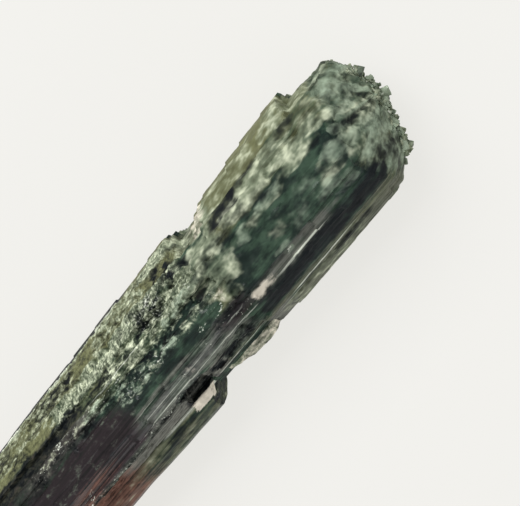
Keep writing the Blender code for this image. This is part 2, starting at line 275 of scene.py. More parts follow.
# Grey: the tone of some faces near the tail, and a painted sheen on the right faces.
GREY = (
    (-14, -5, 6.6, 7.7, 0.75), (-14, 7.9, 10.3, 11.75, 0.45), (-10.5, 4, 12.3, 14.6, 1),
    (-10, 0, 11.6, 12.4, 0.55), (-9, 4, 9.9, 10.2, 0.7), (2.2, 22.4, 13.5, 14.5, 0.3),
    (3, 7, 9.9, 10.9, 0.4), (3, 8, 11.4, 13.6, 0.5), (6.6, 9.6, 9.9, 11.3, 0.42),
    (7.4, 9.6, -0.8, 3, 0.5), (7.6, 10.6, 14.3, 17.4, 0.8), (9.6, 18.6, 10.6, 11.8, 0.6),
    (10.3, 22.5, 14.6, 17.45, 0.45),
)
# The patch at the head's tip, from 24.4 to 25.9 along, is a painted glint.
ICE = (
    (-14, -3, 8.2, 10.3, 0.1), (-6, -2.8, 7, 7.7, 0.3), (-3.3, -2.4, 7.6, 9.1, 0.5),
    (-1.9, -1.2, 7.9, 9, 0.45), (-0.6, 0.2, 7.8, 9, 0.45), (1.8, 3.5, 8, 8.8, 0.7),
    (3, 6.8, 6.9, 7.5, 0.55), (5.2, 7.8, 6.5, 7.3, 0.45), (10.5, 21, 7.6, 10.6, 0.05),
    (11.9, 13.3, 7.1, 7.95, 0.7), (13.5, 14.3, 10.1, 11, 0.6), (14.3, 17, 6.95, 7.5, 0.45),
    (15.4, 17.4, 9, 10.3, 0.16), (17.7, 19.2, 8, 9.8, 0.14), (18.3, 20.2, 9.5, 10.3, 0.36),
    (20.2, 21.5, 10.2, 11.1, 0.45), (21, 22.6, 8.3, 9.3, 0.6), (22.2, 23.8, 8.6, 9.8, 0.45),
    (22.7, 23.6, 7.5, 8.2, 0.6), (22.7, 26.2, 10.4, 17.4, 0.6), (23.3, 24.3, 10.5, 11.2, 0.7),
    (23.6, 25.4, 7.5, 8, 0.5), (24.4, 25.9, 3.4, 5.2, 0.75),
)
# Painted shade: near black in the grooves, pits and hollows, along the left edge and on the darkest
# facets.
SHADE = (
    (-26, 2, -0.6, 1.12, 1), (-26, -3, 1.72, 2.2, 0.42), (-26, -14, 1.9, 4.1, 0.4),
    (-26, -5.5, 5.3, 6.5, 0.58), (-26, -3, 10.35, 10.55, 0.6), (-15, -2, 3.6, 4.15, 0.45),
    (-14.5, -12, 4.2, 5.4, 0.46), (-14, -9, 7, 7.9, 0.35), (-12, -1, 1.7, 4.1, 0.26),
    (-12, 0, 11.7, 12.3, 0.34), (-10.5, -5, 2.1, 3.9, 0.56), (-8.8, -5, 7.2, 8.2, 0.5),
    (-7.5, -2, 5.6, 6.4, 0.4), (-6, 4.5, 7.45, 8.1, 0.36), (-3, 1.8, 6, 6.5, 0.45),
    (-1, 8.6, 1.6, 5.6, 0.2), (-0.9, 2.4, 11.56, 15.3, 0.62), (1.2, 4.2, 4.8, 6.3, 0.6),
    (2.1, 7.8, 12.5, 13.5, 0.7), (4, 7, 2.5, 4.3, 0.6), (4.4, 6.9, 11.7, 12.35, 0.6),
    (5.8, 7, 4.5, 5.6, 0.8), (5.8, 9.4, 9.8, 10.85, 0.45), (6.2, 8.4, 7.2, 8.4, 0.2),
    (7.2, 8.4, 4.5, 5.6, 0.85), (7.4, 9.4, 0, 2.6, 0.15), (7.5, 17.2, 6.2, 7, 0.36),
    (8.1, 8.7, 2.8, 3.9, 0.8), (9, 13, 10.2, 10.7, 0.4), (9.2, 22.8, 11.5, 13.5, 1),
    (11.5, 14.3, 4.3, 5.7, 1), (12.2, 14.8, 5.9, 6.8, 0.6), (14.5, 20, 14.8, 15.4, 0.6),
    (14.6, 16.6, 4.1, 4.8, 0.7), (19, 23.4, 7.3, 7.8, 0.3), (19.8, 20.9, 4.1, 4.9, 0.55),
    (23.2, 25.6, 7.9, 8.6, 0.6), (24.9, 25.8, 9.5, 10.4, 0.5), (25.1, 25.9, 5.4, 6.9, 0.7),
)
# Where the head is seldom shaded.
PALE_HEAD = ((23.8, 27, 0.5, 5, 0.8), (24, 27, 10.8, 15.6, 0.85))
CREAM = (
    (1.6, 2.6, 10.5, 11.2, 0.5), (7.4, 8.8, 8.6, 9.7, 0.45), (9.2, 11.2, 0.9, 3.6, 0.52),
    (9.6, 11.7, 10.75, 11.5, 0.8),
)
# Painted highlights: thin bright lines along the edges.
PAINTED_HIGHLIGHTS = (
    (-26, 1.9, 1.24, 1.46, 0.62), (-10, -5, 10.78, 10.9, 0.34), (-10, -4, 14.4, 14.5, 0.45),
    (-6, -2, 8.06, 8.14, 0.6), (-5, 1.8, 6.62, 6.74, 0.6), (-5, -1, 10.08, 10.2, 0.48),
    (-4.5, 8, 11.42, 11.56, 0.56), (-4, 4.5, 10.78, 10.92, 0.4), (2, 8, 14.5, 14.64, 0.66),
    (6.8, 8.6, 10.72, 10.84, 0.5), (7.6, 9.6, 11.5, 11.62, 0.7), (8.6, 12, 14.72, 14.86, 0.6),
    (11, 17, 14.36, 14.6, 0.8), (11.4, 18.4, 11.36, 11.54, 0.55), (18, 22.4, 11.36, 11.54, 0.24),
)
# Where small painted glints show.
PAINTED_GLINTS = (
    (-14, -10, 11, 12.2, 0.2), (-13, -1, 6.5, 7.8, 0.12), (-12, -0.6, 11.6, 12.5, 0.16),
    (-10, -8.8, 6.7, 7.1, 0.5), (-3.3, -2.2, 6.9, 7.3, 0.5), (-3, 3, 7.8, 9, 0.18),
    (-0.8, 2, 11.7, 12.5, 0.2), (0.9, 1.4, 10.6, 10.9, 0.4), (1.4, 4.2, 4.5, 6.2, 0.22),
    (2, 2.6, 8.1, 8.5, 0.5), (2.2, 7.6, 5.6, 7.3, 0.14), (3.4, 4, 4.7, 5.1, 0.6),
    (4.4, 4.8, 10.5, 10.9, 0.4), (5, 5.5, 9.4, 9.75, 0.42), (5.6, 8.8, 8, 10.8, 0.1),
    (5.9, 6.2, 9.8, 10.1, 0.42), (7, 7.4, 9.5, 9.8, 0.5), (7.5, 9.5, 10.6, 11.4, 0.15),
    (13.6, 14.1, 10.4, 11, 0.5),
)
GLASS = (
    (-26, 0.8, 5.5, 6.5, 0.15), (-26, 7, 8.2, 11.8, 0.9), (-8.9, 1, 12.3, 14.6, 0.4),
    (9.4, 22.6, 8.4, 11.2, 0.55),
)
SMOOTH = (
    (-26, -3.5, 8.2, 11.4, 0.85), (-9, -0.6, 12.3, 14.6, 0.75), (-3.5, 7, 8.8, 11.6, 0.6),
    (9, 22, 0, 7.6, 0.4), (9.4, 23, 7.6, 17.6, 0.75),
)


def ramp(distance, width):
    """0 where the distance is below -width / 2, 1 above width / 2, a smooth step between."""
    share = np.clip(distance / width + 0.5, 0, 1)
    return share * share * (3 - 2 * share)


def blend(one, other, share):
    return one + (other - one) * share


def stacked(*parts):
    """The parts, spread to one shape, side by side on a new last axis."""
    return np.stack(np.broadcast_arrays(*parts), axis=-1)


def hashed(cells, seed):
    """A random number from 0 to 1 for each row of three whole numbers: they are multiplied
    by large odd numbers and mixed, and the last 24 bits are kept."""
    mixed = np.full(cells.shape[:-1], seed * 668265263 % 2**32, np.uint32)
    for axis, factor in enumerate((73856093, 19349663, 83492791)):
        mixed = (mixed ^ cells[..., axis].astype(np.int64).astype(np.uint32)) * np.uint32(factor)
        mixed ^= mixed >> np.uint32(15)
    return (mixed & np.uint32(0xFFFFFF)) / float(0xFFFFFF)


def soft_noise(points, seed):
    """Noise from -1 to 1: random values on whole-number corners, joined by smooth steps."""
    corner = np.floor(points)
    part = points - corner
    part = part * part * (3 - 2 * part)
    total = np.zeros(points.shape[:-1])
    for step in np.ndindex(2, 2, 2):
        weight = np.prod(np.where(step, part, 1 - part), axis=-1)
        total += weight * hashed(corner + step, seed)
    return total * 2 - 1


def clouds(points, name):
    """Soft noise summed at its size and at each half of it, every octave half as strong."""
    size, seed, octaves = (*CLOUDS[name], 3)[:3]
    total = 0
    for octave in range(octaves):
        total = total + soft_noise(points / np.array(size) * 2**octave, seed + octave) / 2**octave
    return total / 1.5


def blocks(points, name, tilt, middle=0.5):
    """Cell noise: each place takes the height of the nearest random spot, less `middle`,
    and a plane through that spot, tilted at random and as steep as `tilt`."""
    size, seed = BLOCKS[name]
    scaled = points / np.array(size)
    corner = np.floor(scaled)
    nearest = np.full(points.shape[:-1], 9.0)
    number, plane = np.zeros_like(nearest), np.zeros_like(nearest)
    for step in np.ndindex(3, 3, 3):
        cell = corner + step - 1
        spots = stacked(*(hashed(cell, seed + axis) for axis in range(3)))
        away = scaled - cell - spots
        gap = np.linalg.norm(away, axis=-1)
        closer = gap < nearest
        number = np.where(closer, hashed(cell, seed + 3), number)
        plane = np.where(closer, np.sum(away * (spots[..., ::-1] * 2 - 1), axis=-1), plane)
        nearest = np.where(closer, gap, nearest)
    return number - middle + tilt * plane


def patches(rows, along, around, soft=(1.2, 0.45)):
    """How strongly each place lies in any of the patches: each is a rectangle in along and
    around whose edges are soft over `soft`, or over nine tenths of its size if that is less.
    The strongest one counts."""
    most = np.zeros(np.shape(along))
    for x_from, x_to, u_from, u_to, strength in rows:
        inside = strength
        for place, low, high, widest in ((along, x_from, x_to, soft[0]), (around, u_from, u_to, soft[1])):
            width = min(widest, 0.9 * (high - low))
            inside = inside * ramp(place - low, width) * ramp(high - place, width)
        most = np.maximum(most, inside)
    return most


def wandering(along, around, prism):
    """Along and around moved a little by noise, so that whatever is read there has ragged,
    uneven borders. They stay straighter on the straight faces."""
    moved_x = 0.9 * clouds(prism, "wander along")
    moved_u = 0.32 * clouds(prism, "wander around")
    straight = ramp(around - STRAIGHT_FACES[0], 1.2) * ramp(STRAIGHT_FACES[1] - around, 1.0)
    return along + moved_x, around + moved_u * (1 - 0.8 * straight)


# The outline and its ledges.

CORNERS = np.array([corner for corner, _ in BANDS])
SIDES = np.roll(CORNERS, -1, axis=0) - CORNERS
LENGTHS = np.linalg.norm(SIDES, axis=1)
STARTS = np.concatenate([[0], np.cumsum(LENGTHS)])


def ledges_of(index, rng):
    """The (x, proud) steps of a band, with small ledges added on rough bands."""
    steps = list(BANDS[index][1])
    if index not in ROUGH_BANDS:
        return steps
    added = list(steps)
    for (start, proud), (end, _) in zip(steps, steps[1:] + [(COLUMN_TOP_X, 0)]):
        place = start + rng.uniform(*ROUGH_STEP)
        while place < end - ROUGH_STEP[0] / 2:
            added.append((place, proud + rng.uniform(-1, 1) * ROUGH_HEIGHT))
            place += rng.uniform(*ROUGH_STEP)
    return sorted(added)


def outline(around):
    """The point of the outline at a length around it, as (y, z), and the band it is on."""
    around = np.mod(around, STARTS[-1])
    band = np.clip(np.searchsorted(STARTS, around, side="right") - 1, 0, len(BANDS) - 1)
    share = (around - STARTS[band]) / LENGTHS[band]
    return CORNERS[band] + SIDES[band] * share[..., None], band


def ledge_height(band, along, around):
    """How far the band stands proud: its steps, each a short slope. The place read wanders
    across the band, so that every ledge is ragged."""
    rng = random.Random(LEDGE_SEED)
    place = stacked(along * 0.15, around * 1.4, band * 7.3)
    coarse, fine = LEDGE_BENDS
    along = along + 0.28 * soft_noise(place, coarse) + 0.12 * soft_noise(place * (4, 3.1, 1), fine)
    proud = np.zeros(along.shape)
    for index in range(len(BANDS)):
        here = band == index
        starts, levels = np.array(ledges_of(index, rng)).T
        if len(levels) == 1:
            proud[here] = levels[0]
            continue
        slopes = np.repeat(starts[1:], 2) + np.tile([-LEDGE_RUN / 2, LEDGE_RUN / 2], len(levels) - 1)
        proud[here] = np.interp(along[here], slopes, np.repeat(levels, 2)[1:-1])
    return proud


def dome_x(y, z):
    """How far the head reaches at (y, z)."""
    across, up = y - DOME_PEAK[0], z - DOME_PEAK[1]
    fall = np.where(across > 0, DOME_FALL_LEFT, DOME_FALL_RIGHT)
    return TIP_X - DOME_DROP - fall * across**2 - DOME_FALL_UP * up**2


def break_x(y, z):
    """The broken end: two crossing swells."""
    swell = 0.5 + 0.3 * np.sin(y / 1.4 + 0.6) + 0.2 * np.sin(z - 0.4 * y)
    return TAIL_X + BREAK_DEPTH * swell


def head_share(along, around):
    """1 on the granular head and 0 on the column, with a ragged edge between."""
    start = np.interp(around, *zip(*HEAD_EDGE))
    place = stacked(along * 0.6, around * 0.8, 0)
    coarse, fine = HEAD_BENDS
    ragged = 1.1 * soft_noise(place, coarse) + 0.6 * soft_noise(place * 3, fine)
    return ramp(along - start + ragged, 1.3)


def relief(along, around, prism, shape):
    """Height above the smooth bands: striations along the crystal, slanting scales, broken
    blocks, round lumps and the head's grains, each where its patch is, less the pits."""
    head = head_share(along, around)
    x, u = wandering(along, around, prism)
    lumpy = patches(LUMPY, x, u, (1.5, 0.8))
    height = shape.striation_height * clouds(prism, "striations") * (1 - head) * (1 - 0.8 * lumpy)
    flat = stacked(along, around, 0)
    slanted = flat @ SCALE_TURN
    slanted[..., 0] += 0.25 * soft_noise(flat / 0.9, SCALE_BENDS[0])
    slanted[..., 1] += 0.25 * soft_noise(flat / 0.7, SCALE_BENDS[1])
    height += patches(SCALY, x, u) * shape.scale_height * blocks(slanted, "scales", 0.5)
    rough = np.maximum(patches(BROKEN, x, u), 0.2 * ramp(along - 5, 2) * (1 - head))
    height += rough * shape.scale_height * 1.2 * blocks(prism, "chips", 0.6)
    height += lumpy * shape.lump_height * clouds(prism, "lumps")
    grains = 0.55 * blocks(prism, "grains", 0.6, 0.55) + 0.16 * blocks(prism, "small grains", 0.6)
    grains += 0.65 * clouds(prism, "swells") - 0.1
    height += head * shape.grain_height * grains
    depth = np.zeros_like(along)
    for *place, deep in PITS:
        depth = np.maximum(depth, deep * patches(((*place, 1.0),), x, u))
    return height - depth * (0.8 + 0.4 * clouds(prism, "pit floor"))


def fracture(prism):
    """The uneven surface of a break: tilted blocks on soft swells."""
    return 0.7 * clouds(prism, "break") + 0.8 * blocks(prism, "break", 1.0)


# The tones and finishes of each piece.

def even_shares(shares, like):
    """Every tone and finish as shares from 0 to 1 in the shape of another array, 0 where it
    isn't given."""
    return {
        name: np.clip(np.broadcast_to(shares.get(name, 0.0), like.shape), 0, 1)
        for name in (*TONE_GRAINS, *FINISHES)
    }


def column_tones(along, around, prism, head):
    """The share of each tone and finish at each place, from its patches, with uneven
    borders. Noise alone gives them on the head and on the faces below."""
    x, u = wandering(along, around, prism)
    streaks = clouds(prism, "streaks")
    mottle = clouds(prism, "mottle")
    large = clouds(prism, "large")
    low = ramp(around - LOW_FACES[0], 0.8) * ramp(LOW_FACES[1] - around, 0.8)
    side = 1 - np.maximum(head, low)
    edge = around + 0.12 * (u - around)
    haze = ramp(x - HAZE_FROM_X, 2.5)
    cream = patches(CREAM, x, u, (1.0, 0.5))
    lined = ramp(around - LINED_FACES[0], 0.8) * ramp(LINED_FACES[1] - around, 0.8) * (1 - 0.6 * haze)
    low_frost = low * (0.2 + 0.5 * streaks) * ramp(along - LOW_FROST_X, 1)
    low_rust = low * ramp(LOW_RUST_X - along, 8) * 0.6
    # Painted shade at random over the head, less on its pale patches.
    head_shade = head * (0.16 + 0.7 * large) * (1 - patches(PALE_HEAD, x, u))
    return even_shares({
        "olive": patches(OLIVE, x, u) * side + low * (0.3 + 0.8 * large) + head * (0.34 + 0.4 * large),
        "grey": patches(GREY, x, u, (2.0, 0.3)),
        "plum": patches(PLUM, x, u, (4.0, 0.8)),
        "rust": np.maximum(patches(RUST, x, u, (4.0, 0.6)), low_rust),
        "frost": patches(FROST, x, u) * side + low_frost + head * (0.29 + 0.5 * mottle),
        "ice": np.maximum(patches(ICE, x, u), head * (0.20 - 0.5 * mottle)),
        "shade": np.maximum(patches(SHADE, x, u), head_shade),
        "cream": cream,
        "painted_highlight": patches(PAINTED_HIGHLIGHTS, x, edge, (3.0, 0.08)),
        "painted_glint": patches(PAINTED_GLINTS, x, u, (1.2, 0.6)),
        "glass": patches(GLASS, x, u) * side + 0.4 * low,
        "smooth": patches(SMOOTH, x, u, (1.5, 0.6)) * side + 0.5 * low + 0.45 * head,
        "scaly": patches(SCALY, x, u) * side,
        "haze": haze,
        "lined": np.maximum(lined, 0.35 * (1 - haze)) * (1 - head) * (1 - cream),
    }, along)


def side_tones(prism, broken):
    """Dark olive along the side crystal, browner towards the tail, cream on its top near the
    break, painted shade on the break and in its groove, and a painted highlight along its edge."""
    x, y, z = np.moveaxis(prism, -1, 0)
    streaks = clouds(prism, "side streaks")
    mottle = clouds(prism, "side mottle")
    outer, inner = SIDE_CREAM_Y
    top = ramp(y - outer + 0.15 * mottle, 0.15) * ramp(z - SIDE_CREAM_Z, 0.3) * ramp(inner - y, 0.1)
    cream = top * ramp(x - SIDE_CREAM_X + 0.5 * mottle, 0.4)
    # Painted shade in the groove beside the column, and a painted highlight along the top edge.
    shaded_groove = ramp(y - SIDE_GROOVE_Y, 0.1)
    edge = ramp(x - SIDE_HIGHLIGHT_X, 2.0) * ramp(y - SIDE_HIGHLIGHT_Y, 0.08) * (1 - cream) * (1 - shaded_groove)
    return even_shares({
        "olive": 0.40 + 0.5 * streaks,
        "grey": 0.2 + 0.4 * streaks,
        "rust": 0.9 * ramp(SIDE_RUST_X - x, 6),
        "frost": 0.3 * streaks,
        "shade": np.maximum((0.26 + 0.5 * broken - 0.5 * streaks) * (1 - cream), 0.75 * shaded_groove),
        "cream": cream,
        "painted_highlight": edge,
        "painted_glint": 0.08 * broken,
        "glass": 0.3 * (1 - broken),
        "smooth": 0.5 * (1 - broken),
        "haze": 0.6,
        "lined": 0.7 * (1 - broken) * (1 - cream),
    }, x)


def flake_tones(prism, out):
    """Pale and streaked, with painted shade on its rim."""
    streaks = clouds(prism, "flake streaks")
    return even_shares({
        "olive": 0.6, "frost": 0.9 + 0.3 * streaks, "shade": 0.6 * ramp(out - 0.96, 0.06),
        "cream": 0.45 + 0.3 * streaks, "smooth": 0.4, "lined": 0.6,
    }, streaks)


def crust_tones(tone):
    """The mix of each little crystal, by its own random number from 0 to 1: some get painted
    shade and a few a painted glint.
    """
    return even_shares({
        "olive": 0.2 + 0.3 * np.sin(tone * 17), "frost": 0.25 + 0.6 * tone,
        "ice": 0.6 * ramp(np.sin(tone * 29), 0.6), "shade": 0.5 * ramp(0.1 - tone, 0.1),
        "painted_glint": 0.3 * ramp(tone - 0.94, 0.05), "glass": 0.5 * ramp(np.sin(tone * 43), 0.4),
        "smooth": 0.6, "haze": 0.6,
    }, tone)


# The pieces.

def tube(rings):
    """Vertices and faces of a closed skin over rings of equal length, drawn at each end to
    the middle of the last ring."""
    rows, columns = rings.shape[:2]
    number = np.arange(rows * columns).reshape(rows, columns) + 1
    after = np.roll(number, -1, axis=1)
    quads = stacked(number[:-1], number[1:], after[1:], after[:-1]).reshape(-1, 4)
    first = stacked(0, number[0], after[0])
    last = stacked(rows * columns + 1, after[-1], number[-1])
    return along_skin(rings), quads.tolist() + first.tolist() + last.tolist()


def along_skin(values):
    """Values on the rings as one list, the first and last ring's mean standing for the
    point at each end."""
    flat = values.reshape(-1, *values.shape[2:])
    return np.concatenate([[values[0].mean(axis=0)], flat, [values[-1].mean(axis=0)]])


def make_mesh(name, points, faces, attributes):
    """A mesh from points in millimetres, with a value or a vector for each point in every
    attribute. Edges sharper than SHARP_ANGLE stay sharp."""
    mesh = bpy.data.meshes.new(name)
    mesh.from_pydata((points * MM).tolist(), [], faces)
    for title, values in attributes.items():
        vector = np.ndim(values) == 2
        layer = mesh.attributes.new(title, "FLOAT_VECTOR" if vector else "FLOAT", "POINT")
        layer.data.foreach_set("vector" if vector else "value", np.asarray(values, np.float32).ravel())
    mesh.shade_smooth()
    mesh.set_sharp_from_angle(angle=math.radians(SHARP_ANGLE))
    return mesh


def add_object(name, data):
    made = bpy.data.objects.new(name, data)
    bpy.context.scene.collection.objects.link(made)
    return made


def add_piece(name, mesh):
    """Puts the mesh in the scene as a piece of the crystal, in place of the plain solid."""
    mesh.materials.append(tourmaline_material())
    piece = add_object(name, mesh)
    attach(piece, BODY)
    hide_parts(NODE)


def add_skin(name, rings, shown):
    """Adds a piece whose skin is drawn over rings, with the values shown on them."""
    points, faces = tube(rings)
    attributes = {title: along_skin(values) for title, values in shown.items()}
    add_piece(name, make_mesh(name, points, faces, attributes))


def even_places(corner, side, spacing):
    """Points at even lengths along a side, the first and last half a step from its ends, so
    that none sits on a corner."""
    count = max(2, math.ceil(np.linalg.norm(side) / spacing))
    return corner + side * ((np.arange(count)[:, None] + 0.5) / count)


def around_places(fine, coarse):
    """Lengths around the outline, in the middle of equal shares of every band: fine on the
    bands that face up and coarse below."""
    steps = np.where(np.arange(len(BANDS)) >= FIRST_LOW_BAND, coarse, fine)
    return np.concatenate([even_places(*line) for line in zip(STARTS, LENGTHS, steps)]).ravel()


def column_grid(shape):
    """The column's rings as arrays of along, around, share and lean, one row for a ring.
    Share is the ring's size against the outline: it falls from 1 to 0 over both ends. Lean
    is how far the relief turns from outwards (0) to along the crystal (1, or -1 at the
    tail)."""
    around = around_places(shape.fine_step, shape.coarse_step)
    tail = np.linspace(0.05, 1.0, BREAK_RINGS)[:, None]
    body = np.concatenate([
        np.arange(TAIL_X + BREAK_DEPTH + 0.2, FINE_FROM_X, shape.coarse_step),
        np.arange(FINE_FROM_X, COLUMN_TOP_X, shape.fine_step),
    ])[:, None]
    rise = np.linspace(0.0, 1.0, RISE_RINGS)[:, None]
    head = np.linspace(0.98, 0.02, HEAD_RINGS)[:, None]
    section = outline(around)[0]

    def spread(column):
        return np.broadcast_to(column, (len(column), len(section)))

    def ends(share, reach_x):
        offset = section * share[..., None]
        middle = np.array([0, AXIS_Z]) * (1 - share[..., None])
        point = offset + middle
        return reach_x(point[..., 0] * HEAD_SCALE, point[..., 1] * HEAD_SCALE)

    rim = ends(np.ones((1, 1)), dome_x) - RIM_ROUND
    along = np.concatenate([
        ends(tail, break_x),
        spread(body),
        blend(COLUMN_TOP_X, rim, rise),
        ends(head, dome_x) - RIM_ROUND * head**RIM_SHARPNESS,
    ])
    share = np.concatenate([tail, np.ones_like(body), 1 - 0.03 * rise**4, head * 0.97])
    lean = [-ramp(1.02 - tail, 0.1), 0 * body, 0.5 * rise**2, 0.5 + 0.5 * ramp(0.9 - head, 0.2)]
    around = np.broadcast_to(around, along.shape)
    return along, around, spread(share), spread(np.concatenate(lean))


def column_surface(along, around, share, lean, shape):
    """The column's points and their place in the untapered crystal. The outline's point
    is moved along its spoke from the axis by the ledges, drawn to the axis by share,
    scaled by the taper, and lifted by the relief in the direction that lean gives."""
    section, band = outline(around)
    axis = np.array([0, AXIS_Z])
    spoke = section - axis
    reach = np.linalg.norm(spoke, axis=-1)
    unit = spoke / reach[..., None]
    proud = ledge_height(band, along, around)
    flat = axis + unit * ((reach + proud) * share)[..., None]
    prism = np.concatenate([along[..., None], flat], axis=-1)
    height = relief(along, around, prism, shape)
    height = np.where(lean < 0, shape.grain_height * fracture(prism), height)
    turn = np.abs(lean) * math.pi / 2
    points = prism * stacked(1, 1 + TAPER * along, 1 + TAPER * along)
    points[..., 1:] += unit * (height * np.cos(turn))[..., None]
    points[..., 0] += np.sign(lean) * height * np.sin(turn)
    points[..., 1] += SIDE_SHIFT
    points[..., 2] = np.maximum(points[..., 2], 0)
    return points, prism


def build_column(shape):
    """The column, with a value for where the crust may grow."""
    along, around, share, lean = column_grid(shape)
    points, prism = column_surface(along, around, share, lean, shape)
    head = np.maximum(head_share(along, around), ramp(lean - 0.58, 0.4))
    shown = {"prism": prism, "crust": head * (0.15 + lean)}
    add_skin("crystal_column", points, shown | column_tones(along, around, prism, head))


def build_side_crystal(shape):
    """The thinner crystal: its outline carried along X, leaning out towards its slanted,
    broken end, with striations on its faces and broken blocks on both ends."""
    corners = np.array(SIDE_OUTLINE)
    sides = np.roll(corners, -1, axis=0) - corners
    section = np.concatenate([even_places(*line, shape.fine_step) for line in zip(corners, sides)])
    middle = section.mean(axis=0)
    length = math.ceil((SIDE_TOP_X - SIDE_TAIL_X) / (2 * shape.fine_step))
    near = np.linspace(0.1, 1.0, 10)[:, None]
    share = np.concatenate([near, np.ones((length, 1)), near[::-1] * 0.99])
    run = np.concatenate([0 * near, (np.arange(length)[:, None] + 0.5) / length, 1 + 0 * near])
    lean = np.concatenate([-1 + 0 * near, np.zeros((length, 1)), 1 + 0 * near])
    flat = middle + (section - middle) * share[..., None]
    y, z = flat[..., 0], flat[..., 1]
    end_x = SIDE_TOP_X - (SIDE_INNER_Y - y) * SIDE_TOP_SLANT[0] - (z - AXIS_Z) * SIDE_TOP_SLANT[1]
    prism = stacked(blend(SIDE_TAIL_X, end_x, run), y, z)
    unit = (section - middle) / np.linalg.norm(section - middle, axis=-1)[..., None]
    lines = shape.striation_height * clouds(prism, "side lines")
    steps = 0.07 * clouds(prism, "side steps")
    height = np.where(lean == 0, lines + steps, 0.3 * shape.grain_height * fracture(prism))
    points = prism.copy()
    points[..., 1:] += unit * (height * (lean == 0))[..., None]
    points[..., 0] += lean * height
    points[..., 1] += SIDE_LEAN * (1 - run) + SIDE_SHIFT
    add_skin("side_crystal", points, {"prism": prism} | side_tones(prism, np.abs(lean)))


def build_flake():
    """The thin flake: at each place along X a flattened oval from inside the column to the
    flake's ragged edge, thinner towards that edge."""
    corners = np.array(FLAKE_OUTLINE)
    along = np.linspace(corners[0, 0], corners[-1, 0], FLAKE_GRID[0])[:, None]
    turn = np.linspace(0, math.tau, FLAKE_GRID[1], endpoint=False)
    edge = np.interp(along, *corners.T) + 0.07 * clouds(stacked(along, 0, 0), "flake edge")
    out = 0.5 - 0.5 * np.cos(turn)
    y = blend(FLAKE_ROOT_Y, edge, out)
    middle = (FLAKE_Z[0] + FLAKE_Z[1]) / 2
    half = (FLAKE_Z[1] - FLAKE_Z[0]) / 2 * (1 - 0.75 * out**2)
    prism = stacked(along, y, middle + half * np.sin(turn))
    points = prism.copy()
    points[..., 2] += 0.06 * clouds(prism, "flake waves")
    points[..., 1] += SIDE_SHIFT
    add_skin("edge_flake", points, {"prism": prism} | flake_tones(prism, out))


# The crust of little crystals.

def little_crystal():
    """Points and faces of a prism with a low point on it, one unit across and one long. The
    faces are grouped by their number of corners."""
    first = np.arange(CRUST_SIDES)
    after = (first + 1) % CRUST_SIDES
    angles = first * math.tau / CRUST_SIDES
    ring = stacked(0, np.cos(angles) / 2, np.sin(angles) / 2)
    top = ring * (1, 0.9, 0.9) + (0.75, 0, 0)
    points = np.concatenate([ring, top, [[1.0, 0, 0]]])
    tips = stacked(first + CRUST_SIDES, 2 * CRUST_SIDES, after + CRUST_SIDES)
    walls = stacked(first, first + CRUST_SIDES, after + CRUST_SIDES, after)
    return points, (tips, walls, first[None])


def turned_towards(directions, spins):
    """Rotation matrices that carry X to each direction, after a spin about X: the columns
    are the direction, a sideways vector square to it, and their cross product."""
    side = np.cross(directions, (0.13, 0.27, 0.95))
    side /= np.linalg.norm(side, axis=-1, keepdims=True)
    third = np.cross(directions, side)
    cos, sin = np.cos(spins)[:, None], np.sin(spins)[:, None]
    return stacked(directions, side * cos + third * sin, third * cos - side * sin)


def crust_places(column, count, rng):
    """Random points of the column and the directions out from them, the likelier the higher
    the crust value is, low on the head's front and on its right."""
    mesh = column.data
    total = len(mesh.vertices)
    places, normals, chance = np.zeros(total * 3), np.zeros(total * 3), np.zeros(total)
    mesh.vertices.foreach_get("co", places)
    mesh.vertex_normals.foreach_get("vector", normals)
    mesh.attributes["crust"].data.foreach_get("value", chance)
    places, normals = places.reshape(-1, 3) / MM, normals.reshape(-1, 3)
    chance *= ramp(CRUST_BELOW_Z - places[:, 2], 1.6)
    chance *= ramp(CRUST_RIGHT_OF_Y - places[:, 1], 2.0) * ramp(places[:, 0] - CRUST_FROM_X, 0.6)
    chosen = rng.choice(total, count, replace=False, p=chance / chance.sum())
    return places[chosen], normals[chosen]


def build_crust(shape, column):
    """Little crystals half sunk in the head. Each leans between the crystal's own direction
    and straight out from the surface."""
    count = shape.crust_count
    rng = np.random.default_rng(CRUST_SEED)
    places, normals = crust_places(column, count, rng)
    directions = normals * 0.8 + (0.9, 0, 0) + rng.normal(0, 0.22, (count, 3))
    directions /= np.linalg.norm(directions, axis=-1, keepdims=True)
    width = shape.crust_size / MM * rng.lognormal(0, 0.35, count)
    length = width * rng.uniform(1.0, 1.9, count)
    points, faces = little_crystal()
    sized = points * stacked(length, width, width * rng.uniform(0.6, 1, count))[:, None]
    sized[:, :, 0] -= length[:, None] * CRUST_SUNK
    turns = turned_towards(directions, rng.uniform(0, math.tau, count))
    placed = np.einsum("nij,npj->npi", turns, sized) + places[:, None]
    placed[..., 2] = np.maximum(placed[..., 2], 0)
    tone = np.broadcast_to(rng.uniform(0, 1, count)[:, None], placed.shape[:2])
    shown = {name: share.reshape(-1) for name, share in crust_tones(tone).items()}
    shown["prism"] = (placed - (0, SIDE_SHIFT, 0)).reshape(-1, 3)
    numbers = np.arange(count)[:, None, None] * len(points)
    all_faces = []
    for same in faces:
        all_faces += (same[None] + numbers).reshape(-1, same.shape[1]).tolist()
    mesh = make_mesh("crust_crystals", placed.reshape(-1, 3), all_faces, shown)
    mesh.shade_flat()
    add_piece("crust_crystals", mesh)


# Materials.

